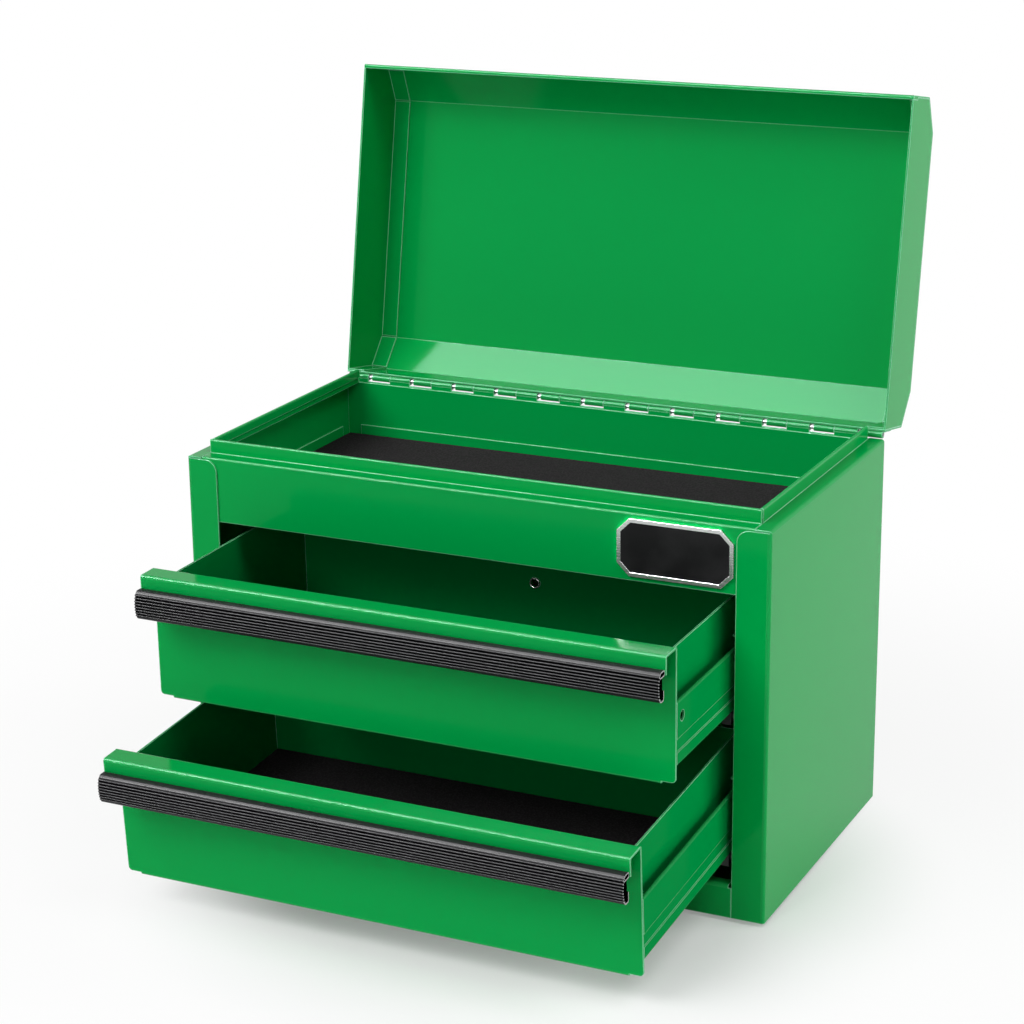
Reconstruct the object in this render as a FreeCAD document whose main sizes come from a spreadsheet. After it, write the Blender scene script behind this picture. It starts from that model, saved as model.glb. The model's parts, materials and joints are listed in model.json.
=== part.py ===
# Steel tool chest: a case with two drawers below a tray, and a lid hinged along its back.
#
# Frame: +Z up, the drawers face -Y, +X to the right of someone who stands before the chest.
# The origin lies on the floor, below the middle of the case. Millimetres and degrees.
# The model rests as the chest was photographed: lid open, both drawers drawn out.

import FreeCAD, Part
import os
import re
import Sketcher

# Driving sizes. Each is a cell of the sheet, and each other size and place comes from them.
sizes = {
    # case: folded sheet
    "case_width": 304.8,
    "case_depth": 162.5,
    "case_height": 192.5,
    "case_sheet": 0.9,
    "bend_radius": 1.6,
    "stile_width": 16.4,
    "stile_corner_radius": 6.0,
    "stile_margin": 1.0,
    "corner_relief": 0.2,
    "header_height": 32.5,
    "header_return": 10.0,
    "seam_gap": 0.1,
    # shoulder and the lip that stands on it, inside the closed lid
    "shoulder_front": 9.0,
    "shoulder_side": 7.8,
    "lip_height": 6.7,
    "lip_hem_height": 4.5,
    "lip_hem_radius": 0.7,
    "lip_corner_gap": 0.2,
    "lip_rear_gap": 3.0,
    # base, back panel and feet
    "front_rail_height": 16.7,
    "front_rail_return": 5.0,
    "front_rail_notch": 1.5,
    "base_flange_height": 10.0,
    "base_flange_setback": 2.0,
    "back_flange_depth": 14.0,
    "back_flange_gap": 0.5,
    "foot_height": 2.0,
    "foot_diameter": 16.0,
    "foot_inset": 20.0,
    "foot_stem_diameter": 5.0,
    "foot_stem_gap": 0.05,
    "foot_head_diameter": 7.0,
    "foot_head_height": 1.6,
    # tray below the lid
    "tray_flange_height": 6.2,
    "tray_flange_setback": 8.0,
    "tray_liner_thickness": 1.0,
    "liner_gap": 0.3,
    # nameplate, left plain
    "plate_width": 57.0,
    "plate_margin": 2.4,
    "plate_side_gap": 1.3,
    "plate_thickness": 1.4,
    "plate_rim": 1.9,
    "plate_corner_cut": 6.0,
    "plate_field_depth": 0.9,
    "plate_field_thickness": 0.6,
    # lid
    "lid_rim_gap": 0.5,
    "lid_wall_height": 27.0,
    "lid_overhang": 3.0,
    "lid_chamfer_depth": 17.5,
    "lid_chamfer_height": 11.0,
    "lid_hem_thickness": 2.1,
    "lid_hem_height": 7.0,
    "lid_flange_width": 9.0,
    "lid_flange_relief": 0.3,
    "lid_open_angle": 100.0,
    # hinge along the whole back
    "hinge_rise": 1.7,
    "hinge_leaf": 0.8,
    "hinge_leaf_height": 10.0,
    "knuckle_diameter": 3.7,
    "hinge_pitch": 25.2,
    "case_knuckle_length": 12.1,
    "knuckle_side_gap": 2.2,
    "knuckle_end_gap": 0.2,
    "hinge_end_margin": 1.0,
    "hinge_pin_diameter": 2.0,
    "hinge_bore_gap": 0.05,
    "hinge_leaf_gap": 0.3,
    "hinge_tongue_rise": 0.5,
    "hinge_tongue_overlap": 5.0,
    # drawers: gaps in the case's opening
    "drawer_top_gap": 2.6,
    "drawer_middle_gap": 5.8,
    "drawer_bottom_gap": 4.5,
    "drawer_side_gap": 3.0,
    "drawer_rear_room": 29.8,
    # drawer front with its ledge and the strip that carries the pull
    "drawer_sheet": 0.9,
    "drawer_bend_radius": 1.4,
    "ledge_depth": 11.5,
    "strip_height": 8.8,
    "front_tab_width": 7.0,
    "front_tab_rise": 1.2,
    "front_corner_radius": 2.0,
    "front_return": 7.0,
    # drawer pan and liner
    "pan_inset": 5.3,
    "pan_wall_drop": 4.7,
    "pan_floor_rise": 5.2,
    "pan_front_flange": 10.0,
    "pan_hole_diameter": 4.2,
    "pan_hole_drop": 26.7,
    "pan_hole_shift": 4.5,
    "pan_hole_ring": 0.7,
    "pan_hole_ring_height": 0.8,
    "drawer_liner_thickness": 1.5,
    # drawer rails
    "rail_width": 5.4,
    "rail_height": 30.6,
    "rail_hem_thickness": 1.8,
    "rail_hem_height": 3.9,
    "rail_lift": 4.4,
    "rail_front_gap": 0.3,
    "rail_rear_setback": 3.0,
    "rail_band_lift": 6.5,
    "rail_band_height": 6.5,
    "rail_band_depth": 0.45,
    "rail_hole_diameter": 5.0,
    "rail_hole_setback": 5.8,
    "rail_hole_drop": 8.3,
    "rail_stop_width": 2.2,
    "rail_stop_height": 2.8,
    "rail_stop_setback": 13.8,
    # ribbed pull fixed to the strip
    "pull_drop": 6.0,
    "pull_height": 14.2,
    "pull_depth": 5.2,
    "pull_bulge": 1.5,
    "pull_wall": 0.6,
    "pull_leg_height": 3.0,
    "pull_hook_gap": 1.0,
    "pull_hook_height": 4.8,
    "pull_end_gap": 0.6,
    "pull_back_inset": 0.8,
    "pull_bend_radius": 1.5,
    "pull_base_radius": 1.2,
    "pull_facets": 6,
    "rib_count": 8,
    "rib_start": 1.9,
    "rib_pitch": 1.42,
    "rib_width": 0.8,
    "rib_height": 0.4,
    # channels in the case, with the pins and shoes that carry the drawers
    "channel_reach": 22.0,
    "channel_floor_reach": 21.0,
    "channel_setback": 14.2,
    "channel_ear_setback": 2.2,
    "channel_ear_drop": 3.0,
    "rail_top_play": 3.3,
    "rail_floor_gap": 0.3,
    "rail_stop_gap": 0.4,
    "glide_pin_setback": 9.2,
    "glide_pin_diameter": 3.0,
    "glide_pin_gap": 0.05,
    "shoe_length": 9.0,
    "shoe_width": 4.3,
    "shoe_height": 5.8,
    "shoe_side_gap": 0.4,
    # where the moving pieces stand
    "upper_slide_out": 62.9,
    "upper_tip_angle": 0.65,
    "lower_slide_out": 98.8,
    "lower_tip_angle": 3.74,
}

doc = FreeCAD.newDocument("tool_chest")
sheet = doc.addObject("Spreadsheet::Sheet", "dims")
for row, (alias, size) in enumerate(sizes.items(), 1):
    sheet.set(f"A{row}", alias)
    sheet.set(f"B{row}", str(size))
    sheet.setAlias(f"B{row}", alias)
doc.recompute()

subparts = []


def bound(text):
    # Turns plain words such as case_width into references to the sheet's cells.
    def cell(word):
        return f"dims.{word.group()}" if word.group() in sizes else word.group()

    return re.sub(r"[a-z]+(?:_[a-z]+)+", cell, text)


def value(text):
    return float(sheet.evalExpression(bound(text)))


def bind(item, name, text):
    item.setExpression(name, bound(text))


def minus(text):
    return f"(-({text}))"


def on_side(side, text):
    # side is 1 on the right and -1 on the left; text is a distance from the middle plane.
    return f"({side} * ({text}))"


# Places that several pieces share.
front = "(-case_depth / 2)"
back = "(case_depth / 2)"
wall_outer = "(case_width / 2)"
wall_inner = "(case_width / 2 - case_sheet)"
floor_level = "foot_height"
shoulder = "(foot_height + case_height)"
below_shoulder = "(foot_height + case_height - case_sheet)"
opening_top = "(foot_height + case_height - header_height)"
front_rail_top = "(foot_height + front_rail_height)"
opening_half = "(case_width / 2 - stile_width)"
inner_bend = "(bend_radius - case_sheet)"
tray_level = f"({opening_top} + case_sheet)"
pin_y = f"({back} + knuckle_diameter / 2)"
pin_z = f"({shoulder} + hinge_rise)"


# Sketches and features inside a body. An outline is a list of corners; each corner is a pair
# of expressions, (y, z) across the x axis, (x, z) across y and (x, y) across z.
planes = {"x": "YZ_Plane", "y": "XZ_Plane", "z": "XY_Plane"}


def new_body(label):
    body = doc.addObject("PartDesign::Body", label)
    body.Label = label
    subparts.append(body)
    return body


def draw_outline(sketch, corners):
    places = [FreeCAD.Vector(value(across), value(up), 0) for across, up in corners]
    first = sketch.GeometryCount
    count = len(corners)
    for index in range(count):
        sketch.addGeometry(Part.LineSegment(places[index], places[(index + 1) % count]), False)
    for index in range(count):
        following = first + (index + 1) % count
        sketch.addConstraint(Sketcher.Constraint("Coincident", first + index, 2, following, 1))
    for index, corner in enumerate(corners):
        for kind, text in zip(("DistanceX", "DistanceY"), corner):
            line = first + index
            rule = Sketcher.Constraint(kind, -1, 1, line, 1, value(text))
            number = sketch.addConstraint(rule)
            bind(sketch, f"Constraints[{number}]", text)


def draw_circle(sketch, circle):
    across, up = circle["centre"]
    centre = FreeCAD.Vector(value(across), value(up), 0)
    normal = FreeCAD.Vector(0, 0, 1)
    radius = value(circle["radius"])
    item = sketch.addGeometry(Part.Circle(centre, normal, radius), False)
    rules = (("DistanceX", across), ("DistanceY", up))
    for kind, text in rules:
        number = sketch.addConstraint(Sketcher.Constraint(kind, -1, 1, item, 3, value(text)))
        bind(sketch, f"Constraints[{number}]", text)
    number = sketch.addConstraint(Sketcher.Constraint("Radius", item, radius))
    bind(sketch, f"Constraints[{number}]", circle["radius"])


def new_sketch(body, name, axis, place, shapes):
    role = planes[axis]
    plane = next(item for item in body.Origin.OriginFeatures if item.Role == role)
    sketch = body.newObject("Sketcher::SketchObject", name)
    sketch.AttachmentSupport = [(plane, "")]
    sketch.MapMode = "FlatFace"
    # The sketch plane across y looks along -Y.
    bind(sketch, "AttachmentOffset.Base.z", minus(place) if axis == "y" else place)
    for shape in shapes:
        if isinstance(shape, dict):
            draw_circle(sketch, shape)
        else:
            draw_outline(sketch, shape)
    return sketch


def pad(body, name, axis, shapes, start, length):
    # Adds material from start to start + length along the axis.
    place = f"({start} + {length})" if axis == "y" else start
    feature = body.newObject("PartDesign::Pad", name)
    feature.Profile = new_sketch(body, f"{name}_sketch", axis, place, shapes)
    bind(feature, "Length", length)
    return feature


def pocket(body, name, axis, shapes, start, length):
    # Cuts from start to start + length along the axis, and makes sure that it cut.
    doc.recompute()
    before = body.Shape.Volume
    place = start if axis == "y" else f"({start} + {length})"
    feature = body.newObject("PartDesign::Pocket", name)
    feature.Profile = new_sketch(body, f"{name}_sketch", axis, place, shapes)
    bind(feature, "Length", length)
    doc.recompute()
    if body.Shape.Volume >= before:
        raise RuntimeError(f"{body.Label}: {name} cuts nothing")
    return feature


def rectangle(low_across, high_across, low_up, high_up):
    return [
        (low_across, low_up),
        (high_across, low_up),
        (high_across, high_up),
        (low_across, high_up),
    ]


def edges_along(shape, axis, corners):
    # Names of the straight edges that run along the axis through one of the corners.
    tolerance = 1e-4
    names = []
    for number, edge in enumerate(shape.Edges, 1):
        if edge.Curve.TypeId != "Part::GeomLine":
            continue
        start, end = edge.Vertexes[0].Point, edge.Vertexes[-1].Point
        across = [other for other in "xyz" if other != axis]
        for corner in corners:
            near = [
                abs(getattr(point, other) - value(text)) < tolerance
                for point in (start, end)
                for other, text in zip(across, corner)
            ]
            if all(near):
                names.append(f"Edge{number}")
    return names


def round_bends(body, name, radius, bends):
    # bends maps an axis to the corners whose edges along that axis are rounded.
    doc.recompute()
    base = body.Tip
    names = []
    for axis, corners in bends:
        names += edges_along(base.Shape, axis, corners)
    if not names:
        raise RuntimeError(f"{body.Label}: {name} finds no edge")
    fillet = body.newObject("PartDesign::Fillet", name)
    fillet.Base = (base, names)
    bind(fillet, "Radius", radius)
    return fillet


def repeat(body, name, features, axis, length, count):
    doc.recompute()
    role = f"{axis.upper()}_Axis"
    line = next(item for item in body.Origin.OriginFeatures if item.Role == role)
    pattern = body.newObject("PartDesign::LinearPattern", name)
    pattern.Originals = features
    pattern.Direction = (line, [""])
    bind(pattern, "Length", length)
    bind(pattern, "Occurrences", count)
    body.Tip = pattern
    return pattern


# Simple solids and booleans, for the pieces that a body would only complicate.
def box(name, x_range, y_range, z_range):
    item = doc.addObject("Part::Box", name)
    for size, place, (low, high) in zip(
        ("Length", "Width", "Height"), "xyz", (x_range, y_range, z_range)
    ):
        bind(item, size, f"{high} - {low}")
        bind(item, f"Placement.Base.{place}", low)
    return item


def rod_along_x(name, low, high, across, radius):
    item = doc.addObject("Part::Cylinder", name)
    bind(item, "Radius", radius)
    bind(item, "Height", f"{high} - {low}")
    start = f"vector({low}; {across[0]}; {across[1]})"
    bind(item, "Placement", f"placement({start}; rotation(vector(0; 1; 0); 90))")
    return item


def rod_along_y(name, low, high, across, radius):
    item = doc.addObject("Part::Cylinder", name)
    bind(item, "Radius", radius)
    bind(item, "Height", f"{high} - {low}")
    start = f"vector({across[0]}; {low}; {across[1]})"
    bind(item, "Placement", f"placement({start}; rotation(vector(1; 0; 0); -90))")
    return item


def cut(name, base, tool):
    item = doc.addObject("Part::Cut", name)
    item.Base = base
    item.Tool = tool
    return item


def fuse(name, items):
    item = doc.addObject("Part::MultiFuse", name)
    item.Shapes = items
    return item


def group(name, items):
    item = doc.addObject("Part::Compound", name)
    item.Links = items
    return item


def subpart(item, label):
    item.Label = label
    subparts.append(item)
    return item


# Case: two side panels, each a wall folded into a stile at the front and a shoulder on top.
def make_side_panel(label, side):
    body = new_body(label)
    outer = on_side(side, wall_outer)
    inner = on_side(side, wall_inner)
    stile_edge = on_side(side, opening_half)
    lip_outer = on_side(side, "case_width / 2 - shoulder_side")
    lip_inner = on_side(side, "case_width / 2 - shoulder_side - case_sheet")
    hem_inner = on_side(side, "case_width / 2 - shoulder_side - 2 * case_sheet")
    lip_top = f"({shoulder} + lip_height)"
    hem_bottom = f"({lip_top} - lip_hem_height)"
    wall = [
        (outer, floor_level),
        (outer, shoulder),
        (lip_outer, shoulder),
        (lip_outer, below_shoulder),
        (inner, below_shoulder),
        (inner, floor_level),
    ]
    pad(body, "wall_and_shoulder", "y", [wall], front, "case_depth")
    stile = rectangle(outer, stile_edge, floor_level, below_shoulder)
    pad(body, "stile", "y", [stile], front, "case_sheet")
    outer_bends = [("z", [(outer, front)]), ("y", [(outer, shoulder)])]
    round_bends(body, "outer_bends", "bend_radius", outer_bends)
    inner_front = f"({front} + case_sheet)"
    round_bends(body, "inner_bend", inner_bend, [("z", [(inner, inner_front)])])
    relief_edge = on_side(side, "case_width / 2 - stile_width - stile_margin")
    relief = rectangle(inner, relief_edge, f"({below_shoulder} - corner_relief)", below_shoulder)
    pocket(body, "corner_relief_cut", "y", [relief], front, "case_sheet")
    stile_corner = [(stile_edge, f"({below_shoulder} - corner_relief)")]
    round_bends(body, "stile_corner", "stile_corner_radius", [("y", stile_corner)])
    lip = [
        (lip_outer, below_shoulder),
        (lip_outer, lip_top),
        (hem_inner, lip_top),
        (hem_inner, hem_bottom),
        (lip_inner, hem_bottom),
        (lip_inner, below_shoulder),
    ]
    lip_start = f"({front} + shoulder_front + 2 * case_sheet + lip_corner_gap)"
    pad(body, "lip", "y", [lip], lip_start, f"({back} - lip_rear_gap - {lip_start})")
    hem_corners = [(lip_outer, lip_top), (hem_inner, lip_top)]
    round_bends(body, "hem_fold", "lip_hem_radius", [("y", hem_corners)])


def make_header():
    # The face above the drawers lies one sheet behind the stiles, and folds over the top
    # into the front shoulder and its lip.
    body = new_body("header_panel")
    face = f"({front} + case_sheet)"
    face_inner = f"({front} + 2 * case_sheet)"
    return_edge = f"({face_inner} + header_return)"
    lip_outer = f"({front} + shoulder_front)"
    lip_inner = f"({lip_outer} + case_sheet)"
    hem_inner = f"({lip_outer} + 2 * case_sheet)"
    lip_top = f"({shoulder} + lip_height)"
    hem_bottom = f"({lip_top} - lip_hem_height)"
    plate = [
        (face, opening_top),
        (face, below_shoulder),
        (face_inner, below_shoulder),
        (face_inner, tray_level),
        (return_edge, tray_level),
        (return_edge, opening_top),
    ]
    half = f"({wall_inner} - {inner_bend} - seam_gap)"
    pad(body, "face", "x", [plate], minus(half), f"(2 * {half})")
    top = [
        (face, below_shoulder),
        (face, shoulder),
        (lip_outer, shoulder),
        (lip_outer, lip_top),
        (hem_inner, lip_top),
        (hem_inner, hem_bottom),
        (lip_inner, hem_bottom),
        (lip_inner, below_shoulder),
    ]
    lip_half = "(case_width / 2 - shoulder_side - lip_corner_gap)"
    pad(body, "shoulder_and_lip", "x", [top], minus(lip_half), f"(2 * {lip_half})")
    round_bends(body, "shoulder_bend", "case_sheet", [("x", [(face, shoulder)])])
    hem_corners = [(lip_outer, lip_top), (hem_inner, lip_top)]
    round_bends(body, "hem_fold", "lip_hem_radius", [("x", hem_corners)])


def foot_places():
    for side, depth in ((-1, -1), (1, -1), (-1, 1), (1, 1)):
        yield (
            on_side(side, "case_width / 2 - foot_inset"),
            on_side(depth, "case_depth / 2 - foot_inset"),
        )


def make_base():
    body = new_body("base_pan")
    behind_front = f"({front} + case_sheet)"
    before_back = f"({back} - case_sheet)"
    rail_half = f"({opening_half} - seam_gap)"
    corner_x = f"({wall_inner} - {inner_bend})"
    corner_y = f"({behind_front} + {inner_bend})"
    floor = [
        (minus(wall_inner), corner_y),
        (minus(corner_x), behind_front),
        (minus(rail_half), behind_front),
        (minus(rail_half), front),
        (rail_half, front),
        (rail_half, behind_front),
        (corner_x, behind_front),
        (wall_inner, corner_y),
        (wall_inner, before_back),
        (minus(wall_inner), before_back),
    ]
    pad(body, "floor", "z", [floor], floor_level, "case_sheet")
    return_edge = f"({behind_front} + front_rail_return)"
    return_bottom = f"({front_rail_top} - case_sheet)"
    rail = [
        (front, floor_level),
        (front, front_rail_top),
        (return_edge, front_rail_top),
        (return_edge, return_bottom),
        (behind_front, return_bottom),
        (behind_front, floor_level),
    ]
    pad(body, "front_rail", "x", [rail], minus(rail_half), f"(2 * {rail_half})")
    flange_top = "(foot_height + base_flange_height)"
    flange_inner = f"({wall_inner} - case_sheet)"
    flanges = [
        rectangle(minus(wall_inner), minus(flange_inner), floor_level, flange_top),
        rectangle(flange_inner, wall_inner, floor_level, flange_top),
    ]
    flange_start = f"({behind_front} + base_flange_setback)"
    flange_length = f"({before_back} - base_flange_setback - {flange_start})"
    pad(body, "side_flanges", "y", flanges, flange_start, flange_length)
    back_flange = rectangle(f"({before_back} - case_sheet)", before_back, floor_level, flange_top)
    back_half = f"({wall_inner} - base_flange_setback)"
    pad(body, "back_flange", "x", [back_flange], minus(back_half), f"(2 * {back_half})")
    notch_inner = f"({rail_half} - front_rail_notch)"
    notch_bottom = f"({front_rail_top} - front_rail_notch)"
    notches = [
        rectangle(minus(rail_half), minus(notch_inner), notch_bottom, front_rail_top),
        rectangle(notch_inner, rail_half, notch_bottom, front_rail_top),
    ]
    notch_depth = "(case_sheet + front_rail_return)"
    pocket(body, "notches", "y", notches, front, notch_depth)
    round_bends(body, "rail_bend", "bend_radius", [("x", [(front, front_rail_top)])])
    stem_radius = "foot_stem_diameter / 2 + foot_stem_gap"
    stems = [{"centre": place, "radius": stem_radius} for place in foot_places()]
    pocket(body, "foot_holes", "z", stems, floor_level, "case_sheet")


def make_feet():
    # Rubber buttons: a disc below the base, a stem through it and a head that holds it.
    labels = ("foot_front_left", "foot_front_right", "foot_rear_left", "foot_rear_right")
    for label, place in zip(labels, foot_places()):
        body = new_body(label)
        pad(body, "disc", "z", [{"centre": place, "radius": "foot_diameter / 2"}], "0", "foot_height")
        stem = {"centre": place, "radius": "foot_stem_diameter / 2"}
        pad(body, "stem", "z", [stem], floor_level, "(case_sheet + foot_head_height)")
        head = {"centre": place, "radius": "foot_head_diameter / 2"}
        pad(body, "head", "z", [head], "(foot_height + case_sheet)", "foot_head_height")


def make_back_panel():
    body = new_body("case_back_panel")
    inner = f"({back} - case_sheet)"
    panel = rectangle(minus(wall_inner), wall_inner, floor_level, below_shoulder)
    pad(body, "panel", "y", [panel], inner, "case_sheet")
    flange_inner = f"({wall_inner} - case_sheet)"
    flange_start = f"({back} - case_sheet - back_flange_depth)"
    flanges = [
        rectangle(minus(wall_inner), minus(flange_inner), flange_start, inner),
        rectangle(flange_inner, wall_inner, flange_start, inner),
    ]
    bottom = "(foot_height + base_flange_height + back_flange_gap)"
    length = f"({opening_top} - back_flange_gap - {bottom})"
    pad(body, "side_flanges", "z", flanges, bottom, length)


def make_tray():
    body = new_body("tray_floor")
    tray_front = f"({front} + 2 * case_sheet)"
    tray_back = f"({back} - case_sheet)"
    floor = rectangle(minus(wall_inner), wall_inner, tray_front, tray_back)
    pad(body, "floor", "z", [floor], tray_level, "case_sheet")
    flange_inner = f"({wall_inner} - case_sheet)"
    flange_top = f"({tray_level} + case_sheet + tray_flange_height)"
    flanges = [
        rectangle(minus(wall_inner), minus(flange_inner), tray_level, flange_top),
        rectangle(flange_inner, wall_inner, tray_level, flange_top),
    ]
    start = f"({tray_front} + tray_flange_setback)"
    length = f"({tray_back} - tray_flange_setback - {start})"
    pad(body, "side_flanges", "y", flanges, start, length)
    back_flange = rectangle(f"({tray_back} - case_sheet)", tray_back, tray_level, flange_top)
    half = f"({wall_inner} - tray_flange_setback)"
    pad(body, "back_flange", "x", [back_flange], minus(half), f"(2 * {half})")
    liner_half = f"({flange_inner} - liner_gap)"
    liner_level = f"({tray_level} + case_sheet)"
    liner = box(
        "tray_liner_sheet",
        (minus(liner_half), liner_half),
        (f"({tray_front} + liner_gap)", f"({tray_back} - case_sheet - liner_gap)"),
        (liner_level, f"({liner_level} + tray_liner_thickness)"),
    )
    subpart(liner, "tray_liner")


def cut_corners(left, right, bottom, top, size):
    # A rectangle whose four corners are cut off at 45 degrees.
    return [
        (f"({left} + {size})", bottom),
        (f"({right} - {size})", bottom),
        (right, f"({bottom} + {size})"),
        (right, f"({top} - {size})"),
        (f"({right} - {size})", top),
        (f"({left} + {size})", top),
        (left, f"({top} - {size})"),
        (left, f"({bottom} + {size})"),
    ]


def make_nameplate():
    right = f"({opening_half} - plate_side_gap)"
    left = f"({right} - plate_width)"
    bottom = f"({opening_top} + plate_margin)"
    top = f"({shoulder} - plate_margin)"
    face = f"({front} + case_sheet)"
    rim = new_body("nameplate_rim")
    outer = cut_corners(left, right, bottom, top, "plate_corner_cut")
    pad(rim, "plate", "y", [outer], f"({face} - plate_thickness)", "plate_thickness")
    # The rim is as wide along the cut corners as along the sides.
    well_cut = "(plate_corner_cut - plate_rim * (2 - sqrt(2)))"
    well = cut_corners(
        f"({left} + plate_rim)",
        f"({right} - plate_rim)",
        f"({bottom} + plate_rim)",
        f"({top} - plate_rim)",
        well_cut,
    )
    pocket(rim, "well", "y", [well], f"({face} - plate_thickness)", "plate_field_depth")
    field = new_body("nameplate_field")
    field_back = f"({face} - plate_thickness + plate_field_depth)"
    pad(field, "plate", "y", [well], f"({field_back} - plate_field_thickness)", "plate_field_thickness")


# Hinge: two leaves with knuckles in turn on one pin. The lid's leaf is drawn shut.
hinge_count = "floor((case_width - 2 * hinge_end_margin) / hinge_pitch)"
hinge_half = f"({hinge_count} * hinge_pitch / 2)"


def make_hinge_leaf(label, upward, first, length):
    # upward is 1 for the lid's leaf and -1 for the case's; first is the first knuckle's start.
    body = new_body(label)
    clear = "(knuckle_diameter / 2 + hinge_leaf_gap)"
    near = f"({pin_z} + {upward} * {clear})"
    far = f"({near} + {upward} * hinge_leaf_height)"
    leaf_outer = f"({back} + hinge_leaf)"
    plate = rectangle(back, leaf_outer, near, far)
    pad(body, "leaf", "x", [plate], minus(hinge_half), f"(2 * {hinge_half})")
    tongue_start = f"({pin_z} + {upward} * hinge_tongue_rise)"
    tongue = rectangle(back, leaf_outer, tongue_start, f"({near} + {upward} * hinge_tongue_overlap)")
    tongue_pad = pad(body, "tongue", "x", [tongue], first, length)
    knuckle = [
        {"centre": (pin_y, pin_z), "radius": "knuckle_diameter / 2"},
        {"centre": (pin_y, pin_z), "radius": "hinge_pin_diameter / 2 + hinge_bore_gap"},
    ]
    knuckle_pad = pad(body, "knuckle", "x", knuckle, first, length)
    span = f"({hinge_count} - 1) * hinge_pitch"
    repeat(body, "knuckles", [tongue_pad, knuckle_pad], "x", span, hinge_count)
    return body


def make_hinge():
    case_start = minus(hinge_half)
    make_hinge_leaf("hinge_leaf_case", -1, case_start, "case_knuckle_length")
    lid_start = f"({case_start} + case_knuckle_length + knuckle_side_gap)"
    lid_length = "(hinge_pitch - case_knuckle_length - knuckle_side_gap - knuckle_end_gap)"
    lid_leaf = make_hinge_leaf("hinge_leaf_lid", 1, lid_start, lid_length)
    pin = rod_along_x("hinge_rod", minus(hinge_half), hinge_half, (pin_y, pin_z), "hinge_pin_diameter / 2")
    subpart(pin, "hinge_pin")
    return lid_leaf


# Lid, drawn shut: a wrap with sloping shoulders between two end panels. It stands out a little
# beyond the front of the case.
lid_front = f"({front} - lid_overhang)"
lid_rim = f"({shoulder} + lid_rim_gap)"
lid_knee = f"({lid_rim} + lid_wall_height)"
lid_top = f"({lid_knee} + lid_chamfer_height)"
slope = "sqrt(lid_chamfer_depth^2 + lid_chamfer_height^2)"
knee_shift = f"(({slope} - lid_chamfer_height) / lid_chamfer_depth)"
top_shift = f"(({slope} - lid_chamfer_depth) / lid_chamfer_height)"


def mirrored(corners):
    # The same corners on the lid's other half, behind its middle or before it.
    return [(f"(-lid_overhang - {across})", up) for across, up in corners]


def lid_profile(depth):
    # The lid's outline from the front rim to the back rim, set inwards by depth.
    knee = f"({lid_knee} - {knee_shift} * {depth})"
    edge = f"({lid_front} + lid_chamfer_depth + {top_shift} * {depth})"
    wall = f"({lid_front} + {depth})"
    top = f"({lid_top} - {depth})"
    half = [(wall, lid_rim), (wall, knee), (edge, top)]
    return half + mirrored(reversed(half))


def make_lid():
    shell = new_body("lid_shell")
    outer = lid_profile("0")
    inner = lid_profile("case_sheet")
    hem_face = f"({lid_front} + lid_hem_thickness)"
    hem_top = f"({lid_rim} + lid_hem_height)"
    hem = [(hem_face, lid_rim), (hem_face, hem_top), (inner[0][0], hem_top)]
    wrap = outer + list(reversed(inner[1:])) + list(reversed(hem))
    pad(shell, "wrap", "x", [wrap], minus(wall_outer), "case_width")
    bends = [outer[1], outer[2], outer[3], outer[4]]
    round_bends(shell, "bends", "bend_radius", [("x", bends)])
    round_bends(shell, "rim_fold", "case_sheet", [("x", [outer[0]])])

    ends = []
    for label, side in (("lid_end_left", -1), ("lid_end_right", 1)):
        body = new_body(label)
        ends.append(body)
        plate = hem + inner[1:]
        start = wall_inner if side > 0 else minus(wall_outer)
        pad(body, "plate", "x", [plate], start, "case_sheet")
        flange_start = f"({wall_inner} - lid_flange_width)" if side > 0 else minus(wall_inner)
        pad(body, "flanges", "x", lid_flanges(hem_top), flange_start, "lid_flange_width")
    return [shell] + ends


def lid_flanges(hem_top):
    # Flanges of the end panels, flat on the inside of the wrap, cut apart at its folds.
    def sloped(along, depth):
        run, rise = f"(lid_chamfer_depth / {slope})", f"(lid_chamfer_height / {slope})"
        return (
            f"({lid_front} + ({along}) * {run} + ({depth}) * {rise})",
            f"({lid_knee} + ({along}) * {rise} - ({depth}) * {run})",
        )

    near, far = "case_sheet", "(2 * case_sheet)"
    knee_cut = f"({knee_shift} * {far} + lid_flange_relief)"
    top_cut = f"({top_shift} * {far} + lid_flange_relief)"
    wall_near, wall_far = f"({lid_front} + {near})", f"({lid_front} + {far})"
    wall_end = f"({lid_knee} - {knee_cut})"
    wall = rectangle(wall_near, wall_far, f"({hem_top} + lid_flange_relief)", wall_end)
    rear_wall = mirrored(rectangle(wall_near, wall_far, f"({lid_rim} + lid_flange_relief)", wall_end))
    last = f"({slope} - {top_cut})"
    slanted = [sloped(knee_cut, near), sloped(last, near), sloped(last, far), sloped(knee_cut, far)]
    top_front = f"({lid_front} + lid_chamfer_depth + {top_cut})"
    top_low, top_high = f"({lid_top} - {far})", f"({lid_top} - {near})"
    top_corners = [(top_front, top_low), (top_front, top_high)]
    top = top_corners + mirrored(reversed(top_corners))
    return [wall, slanted, top, rear_wall, mirrored(slanted)]


def open_lid(item):
    turn = "rotation(vector(1; 0; 0); -lid_open_angle)"
    still = "rotation(vector(1; 0; 0); 0)"
    there = f"placement(vector(0; {pin_y}; {pin_z}); {turn})"
    from_pin = f"placement(vector(0; -{pin_y}; -{pin_z}); {still})"
    bind(item, "Placement", f"{there} * {from_pin}")


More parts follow.
